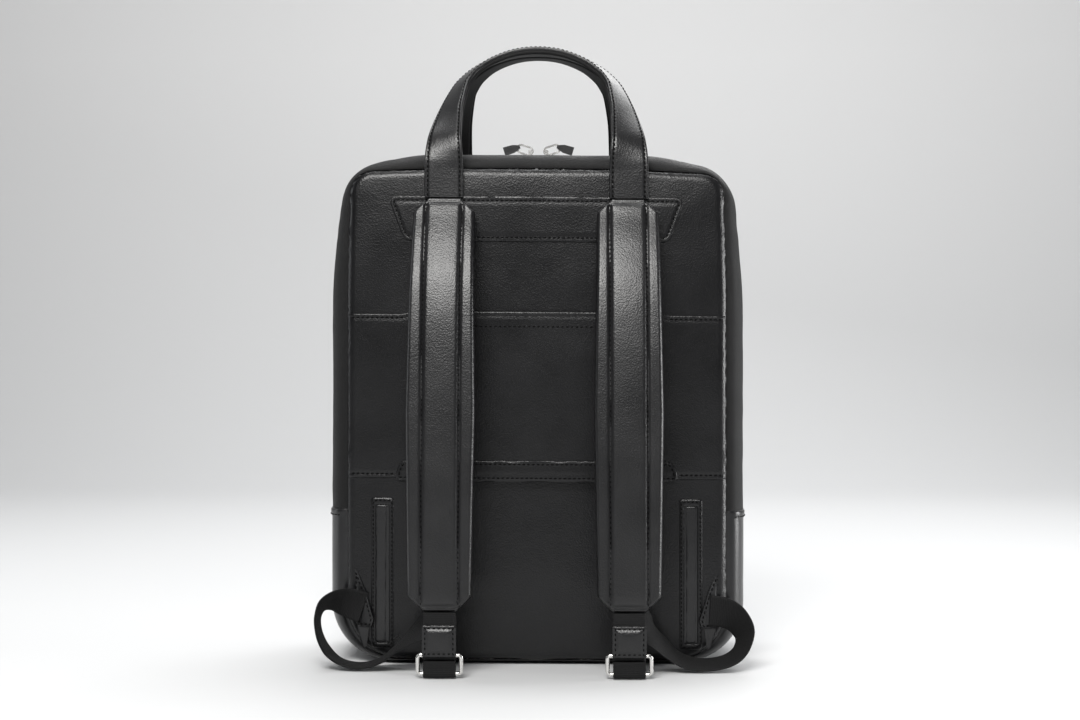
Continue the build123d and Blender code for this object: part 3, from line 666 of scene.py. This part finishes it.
for side, name in ((-1, "left"), (1, "right")):
    middle, low, high = side * 121.0, 13.0, 131.5
    corners = [(middle - 9, low), (middle + 9, low), (middle + 9, high), (middle - 9, high)]
    path = fillet_path(corners, [2.5] * 4, 1.0, closed=True)[0]
    window = fillet_path([(middle - 5.2, low + 4.5), (middle + 5.2, low + 4.5), (middle + 5.2, high - 5.5),
                          (middle - 5.2, high - 5.5)], [1.5] * 4, plan=None, step=1.0, closed=True)[0]
    count = len(path)
    spots = np.linspace(0, len(window) - 1, count)
    window = np.stack([np.interp(spots, np.arange(len(window)), window[:, k]) for k in (0, 1)], 1)
    rows = []
    for share, lift in ((0.0, 0.1), (0.08, 0.75), (0.3, 0.95), (0.6, 0.95), (0.88, 1.15), (1.0, 0.7),
                        (1.0, -0.2)):
        ring = path + (window - path) * share
        rows.append(stack(ring[:, 0], back_face(ring[:, 0], ring[:, 1]) - lift, ring[:, 1]))
    skin(f"strap_pocket_{name}_border", np.stack(rows, 1)[:, ::-1], 0.5, BODY_LEATHER, "bag",
         [f"strap_pocket_frame_{name}"])
    patch_piece(f"strap_pocket_{name}_floor", [(middle - 5, low + 4.8), (middle + 5, low + 4.8),
                                               (middle + 5, high - 5.8), (middle - 5, high - 5.8)], [1] * 4,
                back_face, 0.25, "bag", material=SMOOTH_LEATHER, sewn=False,
                replaces=[f"strap_pocket_welt_{name}"])
    lip = middle + side * 0.6
    patch_piece(f"strap_pocket_{name}_lip",
                [(lip - 4.2, low + 5.2), (lip + 3.0, low + 5.2), (lip + 3.6, high - 6),
                                             (lip - 4.2, high - 6)], [1] * 4, back_face, 0.95, "bag",
                material=SMOOTH_LEATHER, sewn=False)
    line = path + (window - path) * 0.42
    stitches(f"strap_pocket_{name}_stitches",
             stack(line[:, 0], back_face(line[:, 0], line[:, 1]) - 0.95, line[:, 1]),
             stack(0 * line[:, 0], -1 + 0 * line[:, 0], 0 * line[:, 0]), "bag", 3.3, 2.4, 0.9)

# ------------------------------------------------------------------ shoulder straps

STRAP_PATH = [(-65.2, 372), (-71, 352), (-83, 326), (-94, 295), (-101.5, 255), (-106.5, 205), (-110.5, 150),
              (-113, 100), (-115, 42)]


def strap_half_width(z):
    low = STRAP_END - STRAP_CUT + np.maximum(z - STRAP_FOOT, 0)
    high = STRAP_END - STRAP_CUT + np.maximum(STRAP_TOP - z, 0)
    side = np.interp(z, [STRAP_FOOT + STRAP_CUT, 200, STRAP_TOP - STRAP_CUT],
                     [STRAP_END, STRAP_HALF, STRAP_END])
    return np.minimum(np.minimum(low, high), side)


def strap_spine():
    """Back face of a strap between its ends: Y, Z and the direction away from the bag."""
    dense = curve_through([(0, y, z) for y, z in STRAP_PATH], 400)[:, 1:]
    ahead = unit(np.gradient(dense, axis=0))
    out = np.stack([ahead[:, 1], -ahead[:, 0]], 1)
    z_mid = dense[:, 1] + out[:, 1] * 4.5
    wanted = np.concatenate([np.linspace(STRAP_TOP, STRAP_TOP - 16, 16),
                             np.linspace(STRAP_TOP - 18, STRAP_FOOT + 18, 130),
                             np.linspace(STRAP_FOOT + 16, STRAP_FOOT, 16)])
    order = np.argsort(z_mid)
    rows = np.concatenate([dense, out], 1)[order]
    return np.stack([np.interp(wanted, z_mid[order], rows[:, k]) for k in range(4)], 1)


SPINE = strap_spine()


def strap_surface(across, lift, rows=None):
    """Points at these offsets across a strap and heights above its back face, a row for each station."""
    spine = SPINE if rows is None else rows
    y = spine[:, :1] + spine[:, 2:3] * lift
    z = spine[:, 1:2] + spine[:, 3:4] * lift
    return stack(across, y, z)


for side, name in ((-1, "left"), (1, "right")):
    u = np.sin(np.linspace(-1, 1, 65) * pi / 2 * 0.85)
    u = (u / u[-1])[None]
    z_mid = (SPINE[:, 1] + SPINE[:, 3] * 4.5)[:, None]
    w = strap_half_width(z_mid)
    x = u * w
    from_edge = np.minimum(w - np.abs(x), np.minimum(z_mid - STRAP_FOOT, STRAP_TOP - z_mid))
    from_end = np.minimum(z_mid - STRAP_FOOT, STRAP_TOP - z_mid)
    inside = np.clip(1 - (x / 14.0) ** 2, 0, 1)
    crown = inside ** 0.35 * rolled(np.maximum(from_end - 4.0, 0), 10.0)
    wrinkle = rumple(stack(x, 0 * x, z_mid + 0 * x), 26.0, 5.0 + side) * 0.22
    line = np.minimum(np.abs(np.abs(x) - 14.0), np.abs(from_end - 3.8) + 0 * x)
    line = np.where((np.abs(x) > 15.5) & (from_end < 8), 9.0, line)
    top = 3.2 + 4.6 * rolled(from_edge, 3.2) + 1.3 * crown - 1.5 * np.exp(-(line / 1.5) ** 2) + wrinkle
    bottom = 3.2 - 2.8 * rolled(from_edge, 4.0)
    shoulder = slab(f"strap_{name}_pad", strap_surface(side * STRAP_X + x, top),
                    strap_surface(side * STRAP_X + x, bottom),
                    LIT_STRAP_LEATHER, f"strap_{name}",
                    [f"strap_{name}_leather", f"strap_{name}_foam"])
    x_in = u * (w - 3.2)
    under = strap_surface(side * STRAP_X + x_in, 0.3 - 0.4 * rolled((w - 3.2) - np.abs(x_in), 2.0) + 0 * x)
    slab(f"strap_{name}_back", under, strap_surface(side * STRAP_X + x_in, 0.9 + 0 * x), AIR_MESH,
         f"strap_{name}", [f"strap_{name}_lining"])
    rows = SPINE[(z_mid[:, 0] > STRAP_FOOT + 3.6) & (z_mid[:, 0] < STRAP_TOP - 3.6)]
    for edge in (-14.0, 14.0):
        on = strap_surface(side * STRAP_X + edge + np.zeros((len(rows), 1)),
                           6.15 + np.zeros((len(rows), 1)), rows)[:, 0]
        stitches(f"strap_{name}_stitches_{'inner' if edge * side < 0 else 'outer'}", on,
                 stack(0 * rows[:, 2], rows[:, 2], rows[:, 3]), f"strap_{name}", 3.8, 2.8, 1.1)
    for end, spot in (("top", 5), ("foot", -6)):
        row = SPINE[[spot]]
        xs = np.linspace(-13.5, 13.5, 30)
        on = strap_surface(side * STRAP_X + xs[None], 6.3 + 0 * xs[None], row)[0]
        stitches(f"strap_{name}_stitches_{end}", on, np.repeat([[0, row[0, 2], row[0, 3]]], 30, 0),
                 f"strap_{name}",
                 3.7, 2.7, 1.1)

# ------------------------------------------------------------------ bands: webbing and handles


def band_grids(stations, count, wide, thick, columns=13, crown=0.0, offset=0.0, seam=0.0):
    """Front and back grids of a flat band, pressed in at a seam this far from its edges. A station is a
    point, a width direction and a width factor."""
    rows = curve_through(stations, count)
    centre, across, factor = rows[:, :3], rows[:, 3:6], rows[:, 6:7]
    along = unit(np.gradient(centre, axis=0))
    across = unit(across - along * (across * along).sum(1, keepdims=True))
    out = np.cross(along, across)
    t = np.sin(np.linspace(-1, 1, columns) * pi / 2 * 0.93)
    t = t / t[-1]
    edge = (1 - np.abs(t)) * wide / 2
    half = thick / 2 * (0.35 + 0.65 * rolled(edge, thick * 0.6)) + crown * rolled(edge, wide * 0.3)
    if seam:
        half = half - 0.55 * groove(edge, seam, 0.8)
    middle = centre[:, None] + across[:, None] * (t * wide / 2)[None, :, None] * factor[:, None] \
        + out[:, None] * offset
    shift = out[:, None] * half[None, :, None]
    return middle + shift, middle - shift, (centre, along, across, out)


def side_band(y_z, x_middle, wide, thick, name, material, body, replaces=(), count=60, crown=0.0):
    """A band whose width lies along X and whose route is given by Y and Z."""
    stations = [(x_middle, y, z, 1, 0, 0, 1) for y, z in y_z]
    front, back, _ = band_grids(stations, count, wide, thick, crown=crown)
    return slab(name, front, back, material, body, replaces)


LOOPS = {
    "right": [
        ((136, -66.2, 44), (0, 0, 1)), ((147, -68, 43), (0.15, -0.15, 1)),
        ((156, -71, 38), (0.35, -0.4, 0.85)),
        ((162, -74.5, 28), (0.52, -0.69, 0.5)), ((160, -78, 18), (0.45, -0.88, 0.15)),
        ((154, -80.5, 11), (0.3, -0.94, -0.1)), ((145, -82, 6.8), (0.1, -0.97, -0.2)),
        ((134, -82.5, 5), (0, -1, -0.22)), ((122, -83, 5.5), (0, -1, -0.24)),
        ((111, -84.5, 9.5), (0.15, -0.9, -0.4)),
        ((100, -89, 19), (0.1, -0.8, -0.6)), ((90, -95.5, 29), (-0.1, -0.8, -0.55)),
        ((82.5, -100, 37.5), (-0.6, -0.6, -0.5)), ((76.5, -103, 43), (-0.9, -0.25, -0.3)),
        ((73, -106.5, 45.8), (-1, 0, -0.1)), ((71.5, -110.5, 45), (-1, 0, 0)),
        ((71.5, -112.9, 38), (-1, 0, 0)),
        ((71.5, -113.6, 27), (-1, 0, 0)), ((71.5, -113.8, 15.5), (-1, 0, 0)),
        ((71.5, -115.2, 10.9), (-1, 0, 0))],
    "left": [
        ((-136, -66.2, 45), (0, 0, 1)), ((-148, -68.5, 49.5), (0, -0.3, 1)),
        ((-158.5, -71.5, 51.5), (0, -0.7, 0.7)),
        ((-166.5, -75, 48.5), (-0.05, -0.91, 0.4)), ((-170, -77.5, 40), (-0.02, -0.97, 0.22)),
        ((-169.5, -78.5, 30), (-0.06, -0.96, 0.27)), ((-166, -79.5, 20), (-0.18, -0.93, 0.3)),
        ((-159.5, -80.5, 11), (-0.25, -0.93, 0.2)), ((-150, -81.5, 5), (-0.1, -1, 0.05)),
        ((-138, -82, 2.8), (0, -1, 0)), ((-127, -83, 4.5), (0.05, -1, 0)), ((-117, -85, 9.5), (0.1, -1, 0)),
        ((-105.5, -90, 19.5), (0.15, -0.95, 0)), ((-93, -96.5, 30), (0.35, -0.85, -0.1)),
        ((-83, -101.5, 38), (0.65, -0.7, -0.1)), ((-76.5, -104, 43.5), (0.9, -0.35, -0.1)),
        ((-73, -107, 46), (1, 0, 0)), ((-71.5, -110.8, 45), (1, 0, 0)), ((-71.5, -112.9, 38), (1, 0, 0)),
        ((-71.5, -113.6, 27), (1, 0, 0)), ((-71.5, -113.8, 15.5), (1, 0, 0)),
        ((-71.5, -115.2, 10.9), (1, 0, 0))],
}
for side, name in ((-1, "left"), (1, "right")):
    stations = [(*point, *across, 1) for point, across in LOOPS[name]]
    front, back, _ = band_grids(stations, 150, WEB_WIDE, WEB_THICK)
    slab(f"webbing_{name}", front, back, WEBBING,
         ("bag", f"strap_{name}", (side * 158, -80, 20), (side * 86, -98, 34)), [f"webbing_loop_{name}"])

    # Tongue round the upper bar, and the webbing held by the lower bar
    turn = [(BUCKLE_Y + (WRAP - 0.8) * cos(a), BAR_HIGH + (WRAP - 0.8) * sin(a)) for a in np.linspace(pi,
                                                                                                      2 * pi, 9)]
    route = [(BUCKLE_Y - WRAP + 0.8, z) for z in (50, 42, 34, 26)] + turn + [(BUCKLE_Y + WRAP - 0.8,
                                                                              z) for z in
                                                                            (26, 34, 42, 50)]
    side_band(route, side * STRAP_X, WEB_WIDE, WEB_THICK, f"tongue_{name}", WEBBING,
              f"strap_{name}",
              [f"strap_{name}_tongue"])
    turn = [(BUCKLE_Y + (WRAP - 0.8) * cos(a), BAR_LOW + (WRAP - 0.8) * sin(a)) for a in np.linspace(pi,
                                                                                                     2 * pi, 9)]
    route = [(BUCKLE_Y - WRAP + 0.9, z) for z in (13.4, 10.5, 7.5)] + turn + [(BUCKLE_Y + WRAP - 0.8,
                                                                               z) for z in (6.5, 9.7)]
    side_band(route, side * STRAP_X, WEB_WIDE, WEB_THICK, f"turn_{name}", WEBBING,
              f"buckle_{name}",
              [f"webbing_turn_{name}"])

    # Padded leather patch on the tongue
    face = BUCKLE_Y - WRAP
    half = WEB_WIDE / 2 + 0.6
    middle = side * STRAP_X
    patch_piece(f"tongue_patch_{name}",
                [(middle - half, 17.0), (middle + half, 17.0), (middle + half, 40.5),
                                         (middle - half, 40.5)], [1.2] * 4, lambda x, z: face + 0 * x, 1.5,
                f"strap_{name}", step=1.0, seam=2.3, replaces=[f"strap_{name}_patch"], crown=1.5,
                material=LIT_STRAP_LEATHER)

    # Triangular tab in the side seam, folded round the webbing's end
    def tab_face(x, z):
        return -61.5 - 5.8 * np.clip((143 - side * x) / 14.5, 0, 1) ** 0.8

    corners = [(143.5, 79), (134.5, 58), (127.8, 36.5), (129.5, 30.5), (141, 30.5), (144.5, 46)]
    patch_piece(f"side_tab_{name}_near", [(side * x, z) for x, z in corners], [1, 10, 1.5, 1.5, 2, 6],
                tab_face, 1.3,
                "bag", step=1.2, seam=1.8, replaces=[f"side_tab_{name}"], material=LIT_STRAP_LEATHER)
    corners = [(130.8, 31.2), (141.5, 31.2), (136, 12.5), (133.5, 13)]
    patch_piece(f"side_tab_{name}_far", [(side * x, z) for x, z in corners], [1, 1, 1.2, 1], lambda x,
                z: -63.6 + 0 * x,
                1.0, "bag", step=1.0, material=SMOOTH_LEATHER, sewn=False)

HANDLE_ARCH = [(72.5, 367, 0), (72.5, 378, 0), (72.5, 389, 0), (72.5, 398, 3), (72.3, 408, 12),
               (71.5, 419, 24), (68.2, 439.5, 46),
               (62.5, 459, 62), (57, 468.3, 70), (49.5, 476, 76), (37, 484, 82), (19, 490.2, 87),
               (0, 492, 90)]


def handle_stations(face):
    stations = []
    arch = HANDLE_ARCH + [(-x, z, turn) for x, z, turn in HANDLE_ARCH[-2::-1]]
    for i, (x, z, turn) in enumerate(arch):
        share = max(0, z - 398) / (HANDLE_TOP - 398)
        y = face * (HANDLE_Y + (GRIP_Y - HANDLE_Y) * share * share * (3 - 2 * share))
        before, after = arch[max(i - 1, 0)], arch[min(i + 1, len(arch) - 1)]
        run = unit(np.array([after[0] - before[0], after[1] - before[1]], float))
        a = radians(turn)
        stations.append((x, y, z, -run[1] * cos(a), face * sin(a), run[0] * cos(a), 1 - 0.44 * turn / 90))
    return stations


for face, name, holder in ((-1, "back", "bag"), (1, "front", "flap")):
    stations = handle_stations(face)
    body = (holder, f"handle_{name}", (0, face * 67, 388), (0, face * 64, 404))
    for layer, wide, offset in (("leather", 30.5, -face * 1.3), ("lining", 29.2, face * 1.2)):
        front, back, (centre, along, across, out) = band_grids(stations, 210, wide, 2.5, 41, 0.5, offset,
                                                               2.6)
        replaces = [f"handle_{name}_{layer}"]
        if layer == "leather":
            replaces += [f"handle_{name}_root_left", f"handle_{name}_root_right"]
        slab(f"handle_{name}_{layer}_band", front, back,
             LIT_STRAP_LEATHER if layer == "leather" else SHADED_HANDLE_LINING,
             body, replaces)
    factor = curve_through(stations, 210)[:, 6:7]
    for edge, label in ((-12.6, "outer"), (12.6, "inner")):
        line = centre + across * edge * factor - out * face * 2.75
        stitches(f"handle_{name}_stitches_{label}", line, -out * face, body, 3.7, 2.7, 1.0)

# ------------------------------------------------------------------ front panels


def front_face(x, z):
    """Y of the front panel's face."""
    d = away_from(x, z, PANEL_EDGE)
    waves = rumple(stack(x, 0.0 * x, z), 60.0, 12.4) * 0.5 + rumple(stack(x, 0.0 * x, z), 24.0, 5.3) * 0.15
    return HALF_DEPTH - 3.4 + 5.2 * rolled(d, 6.5) + 0.8 * rolled(d, 34.0) + waves * rolled(d, 14.0)


def front_panel(name, low, high, seam_at, body, replaces):
    x, z = panel_grid(PANEL_EDGE, low, high)
    d = np.abs(z - seam_at)
    y = front_face(x, z) - 0.8 * (1 - rolled(d, 1.6)) - 0.25 * groove(d, 3.4, 0.9)
    slab(name, stack(x, y, z)[:, ::-1], stack(x, y - 2.0, z)[:, ::-1], BODY_LEATHER, body,
         replaces)


FOLD = ((0, 62.5, 120), (0, 62.5, 150))
front_panel("front_upper", ZIP_Z + 0.2, 500, ZIP_Z + 0.2, ("bag", "flap", *FOLD), ["front_panel_upper"])
front_panel("front_lower", 0, ZIP_Z, ZIP_Z, "bag", ["front_panel_lower"])
for label, height, body in (("upper", 123.6, ("bag", "flap", *FOLD)), ("lower", 116.6, "bag")):
    xs = np.linspace(-143, 143, 160)
    line = stack(xs, front_face(xs, height + 0 * xs) - 0.1, height + 0 * xs)
    stitches(f"front_stitches_{label}", line, stack(0 * xs, 1 + 0 * xs, 0 * xs), body)
patch_piece("root_patch_front_leather", PATCH, [5, 5, 9, 9], front_face, 1.5, "flap", direction=1,
            replaces=["root_patch_front"])

# Front pocket: leather border, tape and moulded teeth
corners = [(-115, 290), (115, 290), (115, 310), (-115, 310)]
path = fillet_path(corners, [4] * 4, 1.0, closed=True)[0]
window = path + (np.stack([np.clip(path[:, 0], -109, 109), np.clip(path[:, 1], 295, 305)], 1) - path)
rows = []
for share, lift in ((0.0, 0.1), (0.12, 0.9), (0.5, 1.1), (0.9, 1.3), (1.0, 0.9), (1.0, 0.2)):
    ring = path + (window - path) * share
    rows.append(stack(ring[:, 0], front_face(ring[:, 0], ring[:, 1]) + lift, ring[:, 1]))
skin("pocket_border", np.stack(rows, 1), 0.5, BODY_LEATHER, "flap", ["pocket_frame"])
line = path + (window - path) * 0.45
stitches("pocket_stitches", stack(line[:, 0], front_face(line[:, 0], line[:, 1]) + 1.1, line[:, 1]),
         stack(0 * line[:, 0], 1 + 0 * line[:, 0], 0 * line[:, 0]), "flap", 3.3, 2.4, 0.9)
patch_piece("pocket_tape_cloth", [(-109, 295.2), (109, 295.2), (109, 304.8), (-109, 304.8)], [1] * 4,
            lambda x, z: front_face(x, z) + 0.1, 0.5, "flap", material=ZIP_TAPE,
            direction=1,
            sewn=False, replaces=["pocket_tape"])
points, faces = [], []
box = [[3, 2, 1, 0], [4, 5, 6, 7], [0, 1, 5, 4], [1, 2, 6, 5], [2, 3, 7, 6], [3, 0, 4, 7]]
for k in range(96):
    for row in (-1, 1):
        x0, first = -105.5 + k * 2.2 + 0.55 * row, len(points)
        y0 = float(front_face(np.array([[x0]]), np.array([[300.0]]))[0, 0])
        for lift in (0.4, 1.6):
            points += [(x0 - 0.6, y0 + lift, 300 + row * 2.4), (x0 + 0.6, y0 + lift, 300 + row * 2.4),
                       (x0 + 0.75, y0 + lift, 300 - row * 0.3), (x0 - 0.75, y0 + lift, 300 - row * 0.3)]
        faces += [[first + v for v in quad] for quad in box]
make("pocket_teeth_row", points, faces, ZIP_TEETH, "flap", ["pocket_teeth"])

# ------------------------------------------------------------------ inside


def inner_panel(name, y, thick, low, high, half_width, material, node):
    corners = [(-half_width, low), (half_width, low), (half_width, high), (-half_width, high)]
    piece = patch_piece(name, corners, [24, 24, 14, 14], lambda x, z: y + 0 * x, thick, "bag",
                        material=material, direction=1, step=4.0, sewn=False, replaces=[node], crown=0.5)


inner_panel("back_foam", -60.0, 5.6, 12, 378, 140, LINING, "back_panel_foam")
inner_panel("back_lining", -54.2, 0.6, 13, 377, 139, LINING, "back_panel_lining")
inner_panel("divider", -40.0, 4.4, 6, 290, 145, LINING, "laptop_divider")

# ------------------------------------------------------------------ finishes of the CAD's own pieces

FINISH = {"buckle": NICKEL, "slider": NICKEL, "pull_ring": NICKEL, "pocket_slider": NICKEL,
          "pull_tab": SMOOTH_LEATHER,
          "pocket_pull": NICKEL, "base_board": BOARD}
for node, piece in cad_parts.items():
    for start, material in FINISH.items():
        if node.startswith(start):
            piece.data.materials.clear()
            piece.data.materials.append(material)
            piece.data.polygons.foreach_set("use_smooth", [True] * len(piece.data.polygons))
            piece.data.set_sharp_from_angle(angle=radians(35))

# ------------------------------------------------------------------ floor, light and camera


def sweep_floor():
    """A pale floor that curves up into a backdrop, its colour darker on the floor and paler up the backdrop as
    painted shade that tones down the brightly lit floor.
    """
    side = [(-3.0, 0.0), (1.6, 0.0)]
    side += [(1.6 + 1.2 * sin(a), 1.2 - 1.2 * cos(a)) for a in np.linspace(0.1, pi / 2, 14)]
    side += [(2.8, 4.0)]
    points = [(x, y, z) for y, z in side for x in (-4.0, 4.0)]
    data = bpy.data.meshes.new("floor")
    data.from_pydata(points, [], [[2 * k, 2 * k + 1, 2 * k + 3, 2 * k + 2] for k in range(len(side) - 1)])
    data.polygons.foreach_set("use_smooth", [True] * len(data.polygons))
    n = Nodes("floor_paper")
    height = n.add("SeparateXYZ", {"Vector": n.coords.outputs["Object"]}).outputs["Z"]
    # Paper colour runs from 0.6 on the floor to 0.74 up the backdrop: painted shade that darkens the floor where
    # the lamps light it most.
    shade = n.mix(n.spread(height, 0.0, 1.0), (0.6, 0.605, 0.61), (0.74, 0.74, 0.74))
    data.materials.append(n.finish(Base_Color=shade, Roughness=0.6))
    floor = bpy.data.objects.new("floor", data)
    bpy.context.scene.collection.objects.link(floor)


def softbox(name, spot, target, width, height, power, tint=(1, 1, 1)):
    data = bpy.data.lights.new(name, "AREA")
    data.shape, data.size, data.size_y = "RECTANGLE", width, height
    data.energy, data.color = power, tint
    lamp = bpy.data.objects.new(name, data)
    lamp.location = spot
    lamp.rotation_euler = (Vector(target) - Vector(spot)).to_track_quat("-Z", "Y").to_euler()
    bpy.context.scene.collection.objects.link(lamp)


sweep_floor()
softbox("key_front_above", (-0.25, -1.4, 1.45), (0, -0.05, 0.3), 1.0, 0.6, 40, (1, 0.99, 0.97))
softbox("front_low", (-0.3, -2.1, 1.15), (0, -0.06, 0.25), 1.7, 0.5, 5)
softbox("top", (0, 0.1, 2.0), (0, 0, 0.2), 1.2, 0.7, 8)
softbox("rim_right", (1.3, 0.0, 0.25), (0.16, -0.05, 0.07), 0.5, 0.7, 13)
softbox("rim_left", (-1.4, 0.3, 0.6), (-0.15, 0, 0.2), 0.4, 1.2, 3, (0.96, 0.98, 1))
softbox("back_fill", (0.5, 1.4, 1.5), (0, 0.06, 0.25), 1.4, 0.7, 14)
softbox("backdrop_wash", (0.25, 0.8, 2.9), (0, 1.9, 0.2), 3.0, 1.0, 54)

world = bpy.data.worlds.new("studio")
world.use_nodes = True
world.node_tree.nodes["Background"].inputs["Color"].default_value = (0.9, 0.92, 0.95, 1)
world.node_tree.nodes["Background"].inputs["Strength"].default_value = 0.12
bpy.context.scene.world = world
bpy.context.scene.view_settings.view_transform = "Standard"

camera_data = bpy.data.cameras.new("camera")
camera_data.sensor_width = 36
camera_data.lens = 55.03
camera = bpy.data.objects.new("camera", camera_data)
turn, target = radians(1.5), (0.0028, -0.06)
camera.location = (target[0] + 1.3 * sin(turn), target[1] - 1.3 * cos(turn), 0.24)
camera.rotation_euler = (pi / 2, 0, turn)
bpy.context.scene.collection.objects.link(camera)
bpy.context.scene.camera = camera
